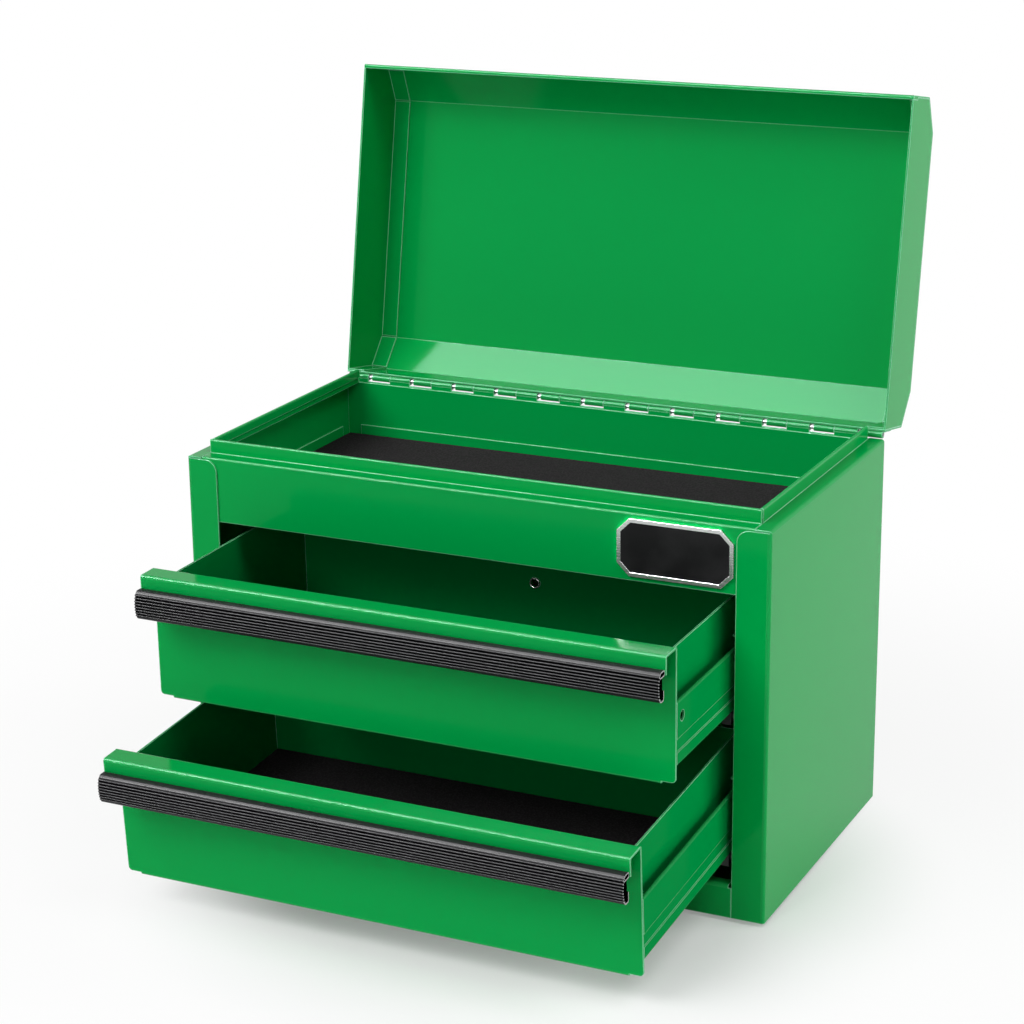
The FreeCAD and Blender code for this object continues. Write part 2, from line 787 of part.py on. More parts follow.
# Drawers, drawn shut and level. Their sizes are the same in both bays.
front_height = (
    "((case_height - header_height - front_rail_height"
    " - drawer_top_gap - drawer_middle_gap - drawer_bottom_gap) / 2)"
)
upper_ledge = f"({opening_top} - drawer_top_gap)"
lower_ledge = f"({upper_ledge} - {front_height} - drawer_middle_gap)"
front_half = f"({opening_half} - drawer_side_gap)"
pan_half = f"({front_half} - pan_inset)"
rail_face = f"({pan_half} + rail_width)"
pan_rear = f"({back} - case_sheet - drawer_rear_room)"
pan_front = f"({front} + drawer_sheet)"
rail_start = f"({pan_front} + rail_front_gap)"
rail_end = f"({pan_rear} - rail_rear_setback)"
shoe_y = f"({front} + glide_pin_setback)"


def pan_floor_level(ledge):
    return f"({ledge} - {front_height} + pan_floor_rise)"


def rail_bottom(ledge):
    return f"({pan_floor_level(ledge)} - drawer_sheet + rail_lift)"


def shoe_level(ledge):
    return f"({rail_bottom(ledge)} - shoe_height / 2)"


def make_drawer_front(label, ledge):
    # One sheet: the face, the ledge along its top and the strip that hangs before it.
    body = new_body(label)
    inner = pan_front
    strip = f"({front} - ledge_depth)"
    strip_inner = f"({strip} + drawer_sheet)"
    strip_end = f"({ledge} - strip_height)"
    under_ledge = f"({ledge} - drawer_sheet)"
    bottom = f"({ledge} - {front_height})"
    tab_bottom = f"({bottom} + front_tab_rise)"
    profile = [
        (inner, tab_bottom),
        (inner, ledge),
        (strip, ledge),
        (strip, strip_end),
        (strip_inner, strip_end),
        (strip_inner, under_ledge),
        (front, under_ledge),
        (front, tab_bottom),
    ]
    pad(body, "sheet", "x", [profile], minus(front_half), f"(2 * {front_half})")
    outer_bends = [(inner, ledge), (strip, ledge)]
    round_bends(body, "outer_bends", "drawer_bend_radius", [("x", outer_bends)])
    inner_bends = [(strip_inner, under_ledge), (front, under_ledge)]
    inner_radius = "drawer_bend_radius - drawer_sheet"
    round_bends(body, "inner_bends", inner_radius, [("x", inner_bends)])
    corners = [(minus(front_half), tab_bottom), (front_half, tab_bottom)]
    round_bends(body, "corners", "front_corner_radius", [("y", corners)])
    fold_half = f"({front_half} - front_tab_width)"
    fold_edge = f"({inner} + front_return)"
    fold_top = f"({bottom} + drawer_sheet)"
    fold = [
        (front, f"({tab_bottom} + drawer_sheet)"),
        (front, bottom),
        (fold_edge, bottom),
        (fold_edge, fold_top),
        (inner, fold_top),
        (inner, f"({tab_bottom} + drawer_sheet)"),
    ]
    pad(body, "bottom_fold", "x", [fold], minus(fold_half), f"(2 * {fold_half})")
    round_bends(body, "fold_bend", "drawer_sheet", [("x", [(front, bottom)])])
    return body


def make_pan(label, ledge):
    # Floor, two sides and back, with narrow flanges that meet the drawer front.
    floor = pan_floor_level(ledge)
    under = f"({floor} - drawer_sheet)"
    top = f"({ledge} - pan_wall_drop)"
    inner_half = f"({pan_half} - drawer_sheet)"
    inner_front, inner_rear = f"({pan_front} + drawer_sheet)", f"({pan_rear} - drawer_sheet)"
    block = box(f"{label}_block", (minus(pan_half), pan_half), (pan_front, pan_rear), (under, top))
    room = box(
        f"{label}_room",
        (minus(inner_half), inner_half),
        (inner_front, inner_rear),
        (floor, f"({top} + drawer_sheet)"),
    )
    flange_half = f"({pan_half} - pan_front_flange)"
    gap = box(
        f"{label}_front_gap",
        (minus(flange_half), flange_half),
        (f"({pan_front} - drawer_sheet)", f"({inner_front} + drawer_sheet)"),
        (f"({floor} + pan_front_flange)", f"({top} + drawer_sheet)"),
    )
    hollow = cut(f"{label}_hollow", block, room)
    open_front = cut(f"{label}_open", hollow, gap)
    hole_place = ("pan_hole_shift", f"({top} - pan_hole_drop)")
    hole_radius = "pan_hole_diameter / 2"
    ring_start = f"({inner_rear} - pan_hole_ring_height)"
    ring = rod_along_y(f"{label}_ring", ring_start, pan_rear, hole_place, f"{hole_radius} + pan_hole_ring")
    hole_end = f"({pan_rear} + drawer_sheet)"
    hole = rod_along_y(f"{label}_hole", f"({ring_start} - drawer_sheet)", hole_end, hole_place, hole_radius)
    ringed = fuse(f"{label}_ringed", [open_front, ring])
    return subpart(cut(f"{label}_cut", ringed, hole), label)


def make_drawer_liner(label, ledge):
    body = new_body(label)
    half = f"({pan_half} - drawer_sheet - liner_gap)"
    start = f"({pan_front} + drawer_sheet + liner_gap)"
    end = f"({pan_rear} - drawer_sheet - liner_gap)"
    mat = rectangle(minus(half), half, start, end)
    pad(body, "mat", "z", [mat], pan_floor_level(ledge), "drawer_liner_thickness")
    return body


def make_rail(label, side, ledge, drilled):
    # A web that stands out from the pan on a lower flange, open above. Its upper edge is folded
    # into a hem, and a shallow band is pressed along it.
    body = new_body(label)
    bottom = rail_bottom(ledge)
    top = f"({bottom} + rail_height)"
    pan = on_side(side, pan_half)

    def face(depth):
        return on_side(side, f"{rail_face} - ({depth})")

    outer, inner = face("0"), face("drawer_sheet")
    hem, hem_bottom = face("rail_hem_thickness"), f"({top} - rail_hem_height)"
    band, band_inner = face("rail_band_depth"), face("rail_band_depth + drawer_sheet")
    band_low = f"({bottom} + rail_band_lift)"
    band_high = f"({band_low} + rail_band_height)"
    profile = [
        (pan, bottom),
        (outer, bottom),
        (outer, band_low),
        (band, f"({band_low} + rail_band_depth)"),
        (band, f"({band_high} - rail_band_depth)"),
        (outer, band_high),
        (outer, top),
        (hem, top),
        (hem, hem_bottom),
        (inner, hem_bottom),
        (inner, band_high),
        (band_inner, f"({band_high} - rail_band_depth)"),
        (band_inner, f"({band_low} + rail_band_depth)"),
        (inner, band_low),
        (inner, f"({bottom} + drawer_sheet)"),
        (pan, f"({bottom} + drawer_sheet)"),
    ]
    pad(body, "channel", "y", [profile], rail_start, f"({rail_end} - {rail_start})")
    round_bends(body, "bend", "drawer_bend_radius", [("y", [(outer, bottom)])])
    round_bends(body, "hem_fold", "(rail_hem_thickness - seam_gap) / 2", [("y", [(outer, top), (hem, top)])])
    if drilled:
        hole_place = (f"({rail_start} + rail_hole_setback)", f"({top} - rail_hole_drop)")
        hole = {"centre": hole_place, "radius": "rail_hole_diameter / 2"}
        web_start = f"({rail_face} - 2 * drawer_sheet)" if side > 0 else minus(rail_face)
        pocket(body, "hole", "x", [hole], web_start, "(2 * drawer_sheet)")
    # The stop meets the shoe when the drawer is drawn out all the way.
    stop_start = f"({rail_end} - rail_stop_setback)"
    stop_inner = on_side(side, f"{pan_half} + seam_gap")
    stop_outer = on_side(side, f"{pan_half} + seam_gap + rail_stop_width")
    stop_bottom = f"({bottom} - rail_stop_height)"
    stop = rectangle(stop_inner, stop_outer, stop_bottom, f"({bottom} + drawer_sheet)")
    pad(body, "stop", "y", [stop], stop_start, "drawer_sheet")
    return body


def make_pull(label, ledge):
    # Ribbed hollow trim: a closed bead along its top lies on the strip, its wall bulges forward,
    # its lower leg turns up, and a back joins the two.
    body = new_body(label)
    strip = f"({front} - ledge_depth)"
    wall_y = f"({strip} - pull_depth)"
    hook_y = f"({strip} - pull_hook_gap)"
    top = f"({ledge} - pull_drop)"
    bottom = f"({top} - pull_height)"
    leg_bottom = f"({top} - pull_leg_height)"
    hook_top = f"({bottom} + pull_hook_height)"
    inner_top, inner_bottom = f"({top} - pull_wall)", f"({bottom} + pull_wall)"

    def wall_face(share):
        # The wall's front at a share of its height, from 0 at the top to 1 at the bottom.
        return f"({wall_y} - pull_bulge * 4 * {share} * (1 - {share}))"

    facets = int(value("pull_facets"))
    shares = [f"({number} / pull_facets)" for number in range(facets + 1)]
    outer_wall = [(wall_face(share), f"({top} - pull_height * {share})") for share in shares]
    inner_height = "(pull_height - 2 * pull_wall)"
    inner_wall = [
        (f"({wall_face(share)} + pull_wall)", f"({inner_top} - {inner_height} * {share})")
        for share in reversed(shares)
    ]
    leg_front, hook_front = f"({strip} - pull_wall)", f"({hook_y} - pull_wall)"
    upper_leg = [(leg_front, inner_top), (leg_front, leg_bottom), (strip, leg_bottom), (strip, top)]
    lower_leg = [
        (hook_y, bottom),
        (hook_y, hook_top),
        (hook_front, hook_top),
        (hook_front, inner_bottom),
    ]
    profile = upper_leg + outer_wall + lower_leg + inner_wall
    half = f"({front_half} - pull_end_gap)"
    pad(body, "channel", "x", [profile], minus(half), f"(2 * {half})")
    top_bends = [(strip, top), (wall_y, top)]
    base_bends = [(wall_y, bottom), (hook_y, bottom)]
    inner_top_bends = [(leg_front, inner_top), (f"({wall_y} + pull_wall)", inner_top)]
    inner_base_bends = [(f"({wall_y} + pull_wall)", inner_bottom), (hook_front, inner_bottom)]
    round_bends(body, "top_bends", "pull_bend_radius", [("x", top_bends)])
    round_bends(body, "inner_top_bends", "pull_bend_radius - pull_wall", [("x", inner_top_bends)])
    round_bends(body, "base_bends", "pull_base_radius", [("x", base_bends)])
    round_bends(body, "inner_base_bends", "pull_base_radius - pull_wall", [("x", inner_base_bends)])
    web_front = f"({wall_face('(pull_leg_height / pull_height)')} + pull_wall / 2)"
    web = rectangle(web_front, strip, leg_bottom, f"({leg_bottom} + pull_wall)")
    pad(body, "bead_web", "x", [web], minus(half), f"(2 * {half})")
    round_bends(body, "bead_bend", "pull_wall", [("x", [(strip, leg_bottom)])])
    back_half = f"({half} - pull_back_inset)"
    back_bottom, back_top = f"({hook_top} - pull_wall)", f"({leg_bottom} + pull_wall / 2)"
    back_plate = rectangle(hook_front, hook_y, back_bottom, back_top)
    pad(body, "back", "x", [back_plate], minus(back_half), f"(2 * {back_half})")
    # The ribs follow the curve of the wall.
    for number in range(int(value("rib_count"))):
        drop = f"(rib_start + rib_pitch * {number})"
        face = wall_face(f"({drop} / pull_height)")
        middle = f"({top} - {drop})"
        rib = [
            (f"({face} + pull_wall / 2)", f"({middle} + rib_width / 2)"),
            (f"({face} - rib_height)", f"({middle} + rib_width / 4)"),
            (f"({face} - rib_height)", f"({middle} - rib_width / 4)"),
            (f"({face} + pull_wall / 2)", f"({middle} - rib_width / 2)"),
        ]
        pad(body, f"rib_{number + 1}", "x", [rib], minus(half), f"(2 * {half})")
    return body


def draw_out(item, ledge, tip, slide_out):
    # A drawer slides along its shoes, and the shoes tip about their pins.
    level = shoe_level(ledge)
    tipped = f"placement(vector(0; {shoe_y}; {level}); rotation(vector(1; 0; 0); {tip}))"
    moved = f"placement(vector(0; -{shoe_y} - {slide_out}; -{level}); rotation(vector(1; 0; 0); 0))"
    bind(item, "Placement", f"{tipped} * {moved}")


def make_drawer(name, ledge, drilled):
    rails = [
        make_rail(f"{name}_rail_left", -1, ledge, drilled),
        make_rail(f"{name}_rail_right", 1, ledge, drilled),
    ]
    pieces = [
        make_drawer_front(f"{name}_drawer_front", ledge),
        make_pan(f"{name}_drawer_pan", ledge),
        make_pull(f"{name}_pull_trim", ledge),
        make_drawer_liner(f"{name}_drawer_liner", ledge),
    ]
    for piece in rails + pieces:
        draw_out(piece, ledge, f"{name}_tip_angle", f"{name}_slide_out")


# What carries the drawers: a channel on each side wall, with a pin and a nylon shoe at its
# mouth. The rail runs on the shoe, and its tail below the channel's top flange.
def make_channel(label, side, ledge):
    body = new_body(label)
    bottom = f"({rail_bottom(ledge)} - rail_floor_gap - case_sheet)"
    top = f"({rail_bottom(ledge)} + rail_height + rail_top_play + case_sheet)"
    outer = on_side(side, wall_inner)
    web = on_side(side, f"{wall_inner} - case_sheet")
    upper_edge = on_side(side, f"{wall_inner} - channel_reach")
    lower_edge = on_side(side, f"{wall_inner} - channel_floor_reach")
    profile = [
        (outer, bottom),
        (outer, top),
        (upper_edge, top),
        (upper_edge, f"({top} - case_sheet)"),
        (web, f"({top} - case_sheet)"),
        (web, f"({bottom} + case_sheet)"),
        (lower_edge, f"({bottom} + case_sheet)"),
        (lower_edge, bottom),
    ]
    start = f"({front} + channel_setback)"
    stop = f"({rail_end} + rail_stop_gap)"
    end = f"({stop} + case_sheet)"
    pad(body, "channel", "y", [profile], start, f"({end} - {start})")
    closed_end = rectangle(outer, lower_edge, bottom, top)
    pad(body, "rear_stop", "y", [closed_end], stop, "case_sheet")
    ear_front = f"({front} + channel_ear_setback)"
    ear_bottom = f"({shoe_level(ledge)} - channel_ear_drop)"
    ear = rectangle(ear_front, f"({start} + case_sheet)", ear_bottom, top)
    ear_start = f"({wall_inner} - case_sheet)" if side > 0 else minus(wall_inner)
    pad(body, "ear", "x", [ear], ear_start, "case_sheet")


def make_glides(name, ledge):
    place = (shoe_y, shoe_level(ledge))
    radius = "glide_pin_diameter / 2"
    shoe_outer = f"({rail_face} - shoe_side_gap)"
    shoe_inner = f"({shoe_outer} - shoe_width)"
    pin_end = f"({wall_inner} - case_sheet)"
    pins = []
    shoes = []
    for side in (-1, 1):
        word = "left" if side < 0 else "right"
        inner, outer = (shoe_inner, pin_end) if side > 0 else (minus(pin_end), minus(shoe_inner))
        pins.append(rod_along_x(f"{name}_pin_{word}", inner, outer, place, radius))
        low, high = (shoe_inner, shoe_outer) if side > 0 else (minus(shoe_outer), minus(shoe_inner))
        y_range = (f"({shoe_y} - shoe_length / 2)", f"({shoe_y} + shoe_length / 2)")
        z_range = (f"({place[1]} - shoe_height / 2)", f"({place[1]} + shoe_height / 2)")
        block = box(f"{name}_shoe_block_{word}", (low, high), y_range, z_range)
        bore = rod_along_x(
            f"{name}_shoe_bore_{word}",
            f"({low} - glide_pin_diameter)",
            f"({high} + glide_pin_diameter)",
            place,
            f"{radius} + glide_pin_gap",
        )
        shoes.append(cut(f"{name}_shoe_{word}", block, bore))
    subpart(group(f"{name}_pin_pair", pins), f"{name}_glide_pins")
    pair = subpart(group(f"{name}_shoe_pair", shoes), f"{name}_glide_shoes")
    draw_out(pair, ledge, f"{name}_tip_angle", "0")


def export():
    doc.recompute()
    for item in doc.Objects:
        if "Invalid" in item.State or "Error" in item.State:
            raise RuntimeError(f"{item.Label} is not up to date: {item.State}")
    os.makedirs("parts", exist_ok=True)
    for item in subparts:
        shape = item.Shape
        if shape.isNull() or not shape.isValid() or shape.Volume <= 0:
            raise RuntimeError(f"{item.Label} has no valid shape")
    for item in subparts:
        item.Shape.exportStep(f"parts/{item.Label}.step")
        print(f"{item.Label}: {len(item.Shape.Solids)} solid, {item.Shape.Volume:.0f} mm3")


make_side_panel("case_side_left", -1)
make_side_panel("case_side_right", 1)
make_header()
make_base()
make_feet()
make_back_panel()
make_tray()
make_nameplate()
lid_leaf = make_hinge()
for piece in make_lid() + [lid_leaf]:
    open_lid(piece)
# Only the upper drawer's rails have a hole.
for name, ledge, drilled in (("upper", upper_ledge, True), ("lower", lower_ledge, False)):
    make_drawer(name, ledge, drilled)
    make_channel(f"{name}_channel_left", -1, ledge)
    make_channel(f"{name}_channel_right", 1, ledge)
    make_glides(name, ledge)
export()
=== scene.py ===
import bmesh
import bpy
import json
from math import cos, radians, sin
from mathutils import Matrix, Vector


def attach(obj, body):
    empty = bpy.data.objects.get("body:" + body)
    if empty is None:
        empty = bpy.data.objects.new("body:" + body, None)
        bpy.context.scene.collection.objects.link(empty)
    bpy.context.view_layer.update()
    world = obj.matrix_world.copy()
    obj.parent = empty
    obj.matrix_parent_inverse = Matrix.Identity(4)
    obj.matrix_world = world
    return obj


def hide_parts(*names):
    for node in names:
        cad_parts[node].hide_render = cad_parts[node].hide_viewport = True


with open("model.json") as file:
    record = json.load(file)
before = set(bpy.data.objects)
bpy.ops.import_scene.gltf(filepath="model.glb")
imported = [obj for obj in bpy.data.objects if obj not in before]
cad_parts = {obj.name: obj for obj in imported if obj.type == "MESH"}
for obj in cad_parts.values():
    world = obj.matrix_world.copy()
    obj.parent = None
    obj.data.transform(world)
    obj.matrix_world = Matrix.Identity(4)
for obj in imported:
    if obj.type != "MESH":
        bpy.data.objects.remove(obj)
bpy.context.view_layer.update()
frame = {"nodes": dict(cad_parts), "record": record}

nodes = frame["nodes"]
print("frame loaded:", len(nodes), "nodes")

# The camera, as solved from the photograph's straight edges
camera = {
    "place": (0.53219, -1.13671, 0.55756),
    "azimuth": 25.683,  # degrees from straight ahead, seen from above
    "elevation": 17.53,
    "roll": -0.648,
    "lens": 92.86,  # mm
    "sensor": 36,  # mm
    "clip": (0.05, 20),  # m
}


def aimCamera():
    azimuth, elevation = radians(camera["azimuth"]), radians(camera["elevation"])
    ahead = Vector((-sin(azimuth), cos(azimuth), 0))
    forward = ahead * cos(elevation) - Vector((0, 0, sin(elevation)))
    level = Vector((cos(azimuth), sin(azimuth), 0))
    up = level.cross(forward)
    roll = radians(camera["roll"])
    right = level * cos(roll) + up * sin(roll)
    upright = up * cos(roll) - level * sin(roll)
    data = bpy.data.cameras.new("photoCamera")
    data.lens = camera["lens"]
    data.sensor_width = camera["sensor"]
    data.clip_start, data.clip_end = camera["clip"]
    item = bpy.data.objects.new("photoCamera", data)
    bpy.context.collection.objects.link(item)
    turn = Matrix((right, upright, -forward)).transposed().to_4x4()
    item.matrix_world = Matrix.Translation(camera["place"]) @ turn
    bpy.context.scene.camera = item


aimCamera()
print("camera aimed")


def paint(code):
    # sRGB hex to linear colour
    channels = [int(code[start:start + 2], 16) / 255 for start in (1, 3, 5)]
    linear = [c / 12.92 if c <= 0.04045 else ((c + 0.055) / 1.055) ** 2.4 for c in channels]
    return (*linear, 1)


def addNode(tree, kind, inputs=None, **settings):
    # Adds one node with its settings. An input goes by its name or number, and takes a number,
    # a colour or another node's socket.
    node = tree.nodes.new(kind)
    for name, setting in settings.items():
        setattr(node, name, setting)
    for name, source in (inputs or {}).items():
        if isinstance(source, bpy.types.NodeSocket):
            tree.links.new(source, node.inputs[name])
        else:
            node.inputs[name].default_value = source
    return node


def newMaterial(name):
    material = bpy.data.materials.new(name)
    material.use_nodes = True
    tree = material.node_tree
    tree.nodes.clear()
    place = addNode(tree, "ShaderNodeTexCoord").outputs["Object"]
    return material, tree, place


def closeMaterial(tree, shader):
    addNode(tree, "ShaderNodeOutputMaterial", {"Surface": shader.outputs[0]})


def addNoise(tree, place, scale, detail=2.0):
    # Soft noise with so many waves to the metre
    noise = addNode(tree, "ShaderNodeTexNoise", {"Vector": place, "Scale": scale, "Detail": detail})
    return noise.outputs["Fac"]


def stretch(tree, place, scale):
    return addNode(tree, "ShaderNodeMapping", {"Vector": place, "Scale": scale}).outputs["Vector"]


def spread(tree, source, low, high, reach=(0, 1)):
    # Turns the source's reach into the range from low to high
    return addNode(tree, "ShaderNodeMapRange", {
        "Value": source,
        "From Min": reach[0],
        "From Max": reach[1],
        "To Min": low,
        "To Max": high,
    }).outputs["Result"]


noiseReach = (0.35, 0.65)  # where nearly all of the noise lies


# Gloss enamel, sprayed and baked on steel sheet: a deep clean green under a smooth film. The
# film has a faint orange peel and keeps a little haze from dust and handling, which spreads its
# highlights unevenly. Over bent edges its colour is lightened towards a painted highlight.
enamel = {
    "tint": "#D0FFEE",  # the green film colours what it mirrors head on
    "peel": 0.0024,  # m, width of the orange peel's waves
    "peelDepth": 0.00001,
    "haze": 0.06,  # m, size of the hazy patches
    "roughness": (0.09, 0.14),
    "paintedHighlightGain": 1.2,  # how strongly an edge shows the painted highlight
}
coats = {
    "bakedGreenEnamel": {
        "colour": "#009A45",
        "paintedBendHighlight": "#A2F0C8",  # painted highlight over bends and edges
        "bendRadius": 0.00065,  # m, outside of a bend in the painted sheet
        "ior": 1.5,
        "mirror": 0.1,
    },
    "shadedEnamelOnRunners": {  # a darker, less mirroring copy of the same enamel: painted shade on the runners and drawer pans
        "colour": "#00883F",
        "paintedBendHighlight": "#C4FFE0",
        "bendRadius": 0.0004,
        "ior": 1.1,
        "mirror": 0.03,
    },
}


def bakedEnamel(name):
    coat = coats[name]
    material, tree, place = newMaterial(name)
    haze = addNoise(tree, place, 1 / enamel["haze"], 3.0)
    peel = addNoise(tree, place, 1 / enamel["peel"], 1.0)
    bend = addNode(tree, "ShaderNodeBevel", {"Radius": coat["bendRadius"]}, samples=8)
    film = addNode(tree, "ShaderNodeBump", {
        "Height": peel,
        "Distance": enamel["peelDepth"],
        "Normal": bend.outputs["Normal"],
    })
    face = addNode(tree, "ShaderNodeNewGeometry")
    # painted highlight: the colour turns towards the highlight colour where the rounded normal leans
    # away from the face's, at every edge
    turn = addNode(tree, "ShaderNodeVectorMath", {
        0: bend.outputs["Normal"],
        1: face.outputs["Normal"],
    }, operation="DISTANCE")
    paintedHighlight = addNode(tree, "ShaderNodeMath", {
        0: turn.outputs["Value"],
        1: enamel["paintedHighlightGain"],
    }, operation="MULTIPLY", use_clamp=True)
    colour = addNode(tree, "ShaderNodeMix", {
        "Factor": paintedHighlight.outputs["Value"],
        "A": paint(coat["colour"]),
        "B": paint(coat["paintedBendHighlight"]),
    }, data_type="RGBA")
    gloss = addNode(tree, "ShaderNodeBsdfPrincipled", {
        "Base Color": colour.outputs["Result"],
        "Roughness": spread(tree, haze, *enamel["roughness"], noiseReach),
        "IOR": coat["ior"],
        "Specular IOR Level": coat["mirror"],
        "Specular Tint": paint(enamel["tint"]),
        "Normal": film.outputs["Normal"],
    })
    closeMaterial(tree, gloss)
    return material


# Foamed rubber mat: nearly black, matt, with a fine pebbled grain that catches a little light
mat = {
    "colour": "#1F1B1E",
    "crest": "#302B2F",
    "grain": 0.0011,
    "depth": 0.00022,
    "strength": 0.8,
    "crestShare": 0.6,
    "clouds": 22.0,  # duller and shinier patches to the metre
    "roughness": (0.74, 0.9),
    "ior": 1.12,
}


def foamedRubber():
    material, tree, place = newMaterial("foamedRubberMat")
    grain = addNode(tree, "ShaderNodeTexVoronoi", {"Vector": place, "Scale": 1 / mat["grain"]})
    cloud = addNoise(tree, place, mat["clouds"], 3.0)
    tone = addNode(tree, "ShaderNodeValToRGB", {"Fac": grain.outputs["Distance"]})
    crest, hollow = tone.color_ramp.elements
    crest.color, hollow.color = paint(mat["crest"]), paint(mat["colour"])
    hollow.position = mat["crestShare"]
    bump = addNode(tree, "ShaderNodeBump", {
        "Height": grain.outputs["Distance"],
        "Distance": mat["depth"],
        "Strength": mat["strength"],
    }, invert=True)
    gloss = addNode(tree, "ShaderNodeBsdfPrincipled", {
        "Base Color": tone.outputs["Color"],
        "Roughness": spread(tree, cloud, *mat["roughness"]),
        "IOR": mat["ior"],
        "Normal": bump.outputs["Normal"],
    })
    closeMaterial(tree, gloss)
    return material


# Extruded PVC: a black satin skin with faint drag lines along the length of the profile
vinyl = {
    "skin": {"colour": "#242426", "mirror": 0.065},
    "grooveShade": {"colour": "#020202", "mirror": 0.0},  # painted shade: near black and unmirroring between the ribs, inside the channel and on its back
    "lines": 0.0007,  # m, between drag lines
    "lineStretch": (0.02, 1.0, 1.0),
    "lineDepth": 0.000006,
    "clouds": 40.0,  # duller and shinier patches to the metre
    "roughness": (0.24, 0.3),
    "ior": 1.53,
}


def extrudedVinyl(name):
    face = vinyl[name]
    material, tree, place = newMaterial("extrudedVinyl" + name.capitalize())
    drag = addNoise(tree, stretch(tree, place, vinyl["lineStretch"]), 1 / vinyl["lines"])
    cloud = addNoise(tree, place, vinyl["clouds"], 3.0)
    bump = addNode(tree, "ShaderNodeBump", {"Height": drag, "Distance": vinyl["lineDepth"]})
    gloss = addNode(tree, "ShaderNodeBsdfPrincipled", {
        "Base Color": paint(face["colour"]),
        "Roughness": spread(tree, cloud, *vinyl["roughness"], noiseReach),
        "IOR": vinyl["ior"],
        "Specular IOR Level": face["mirror"],
        "Normal": bump.outputs["Normal"],
    })
    closeMaterial(tree, gloss)
    return material


# The same PVC where a saw has cut it: the ends are grey, dull and scratched
sawnEnd = {
    "colour": "#9A9B9C",
    "scratch": 0.0003,  # m, between the saw's marks
    "scratchStretch": (1.0, 0.1, 1.0),
    "depth": 0.00006,
    "roughness": 0.6,
}


def sawnVinyl():
    material, tree, place = newMaterial("sawnVinylEnd")
    across = stretch(tree, place, sawnEnd["scratchStretch"])
    scratch = addNoise(tree, across, 1 / sawnEnd["scratch"])
    bump = addNode(tree, "ShaderNodeBump", {"Height": scratch, "Distance": sawnEnd["depth"]})
    gloss = addNode(tree, "ShaderNodeBsdfPrincipled", {
        "Base Color": paint(sawnEnd["colour"]),
        "Roughness": sawnEnd["roughness"],
        "Normal": bump.outputs["Normal"],
    })
    closeMaterial(tree, gloss)
    return material


# Bare metal with a drawn or brushed grain: satin aluminium for the plate's rim, and zinc
# plated steel for the pins. The grain runs one way and stretches each highlight across it.
metals = {
    "satinAluminium": {
        "colour": "#C4C4C5",
        "grain": 0.0005,
        "depth": 0.00001,
        "roughness": (0.2, 0.32),
    },
    "zincPlatedSteel": {
        "colour": "#6C6F70",
        "grain": 0.0004,
        "depth": 0.000008,
        "roughness": (0.26, 0.38),
    },
}
drawnGrain = (0.03, 1.0, 1.0)  # stretched along the piece
wornRadius = 0.0003  # m, of the edges


def drawnMetal(name):
    metal = metals[name]
    material, tree, place = newMaterial(name)
    grain = addNoise(tree, stretch(tree, place, drawnGrain), 1 / metal["grain"], 3.0)
    worn = addNode(tree, "ShaderNodeBevel", {"Radius": wornRadius}, samples=6)
    bump = addNode(tree, "ShaderNodeBump", {
        "Height": grain,
        "Distance": metal["depth"],
        "Normal": worn.outputs["Normal"],
    })
    gloss = addNode(tree, "ShaderNodeBsdfPrincipled", {
        "Base Color": paint(metal["colour"]),
        "Metallic": 1.0,
        "Roughness": spread(tree, grain, *metal["roughness"]),
        "Normal": bump.outputs["Normal"],
    })
    closeMaterial(tree, gloss)
    return material


# Small dark parts: stoved black enamel in the plate, moulded rubber feet, moulded nylon shoes.
# The enamel is smooth, the rubber has a dusty bloom, and the nylon a fine spark-eroded grain.
darkParts = {
    "stovedBlackEnamel": {
        "colours": ("#1C1C1D", "#262627"),
        "grain": 0.002,
        "depth": 0.000008,
        "roughness": (0.12, 0.28),
        "mirror": 0.05,
    },
    "mouldedRubber": {
        "colours": ("#161616", "#2C2B2A"),
        "grain": 0.0009,
        "depth": 0.00004,
        "roughness": (0.64, 0.8),
        "mirror": 0.5,
    },
    "mouldedNylon": {
        "colours": ("#1B1B1C", "#262627"),
        "grain": 0.0006,
        "depth": 0.00003,
        "roughness": (0.42, 0.58),
        "mirror": 0.5,
    },
}
darkBloom = {"clouds": 60.0, "from": 0.4, "to": 0.7}  # patches to the metre, where they show


def darkPart(name):
    part = darkParts[name]
    material, tree, place = newMaterial(name)
    grain = addNoise(tree, place, 1 / part["grain"])
    cloud = addNoise(tree, place, darkBloom["clouds"], 4.0)
    tone = addNode(tree, "ShaderNodeValToRGB", {"Fac": cloud})
    stops = zip(tone.color_ramp.elements, part["colours"], (darkBloom["from"], darkBloom["to"]))
    for stop, colour, position in stops:
        stop.color = paint(colour)
        stop.position = position
    bump = addNode(tree, "ShaderNodeBump", {"Height": grain, "Distance": part["depth"]})
    gloss = addNode(tree, "ShaderNodeBsdfPrincipled", {
        "Base Color": tone.outputs["Color"],
        "Roughness": spread(tree, cloud, *part["roughness"]),
        "Specular IOR Level": part["mirror"],
        "Normal": bump.outputs["Normal"],
    })
    closeMaterial(tree, gloss)
    return material


# Each finish of the record gets its material
finishes = {
    "green_enamel": bakedEnamel("bakedGreenEnamel"),
    "dark_liner": foamedRubber(),
    "black_plastic": extrudedVinyl("skin"),
    "bright_metal": drawnMetal("satinAluminium"),
    "pin_steel": drawnMetal("zincPlatedSteel"),
    "black_enamel": darkPart("stovedBlackEnamel"),
    "black_rubber": darkPart("mouldedRubber"),
    "black_nylon": darkPart("mouldedNylon"),
}
shadedRunnerEnamel = bakedEnamel("shadedEnamelOnRunners")
for part in frame["record"]["subparts"]:
    skin = nodes[part["node"]].data.materials
    skin.clear()
    # the runners and drawer pans take the darker copy of the enamel, which is painted shade
    onRunner = "_rail_" in part["node"] or part["node"].endswith("_drawer_pan")
    skin.append(shadedRunnerEnamel if onRunner else finishes[part["material_slot"]])
print("finishes:", len(finishes))


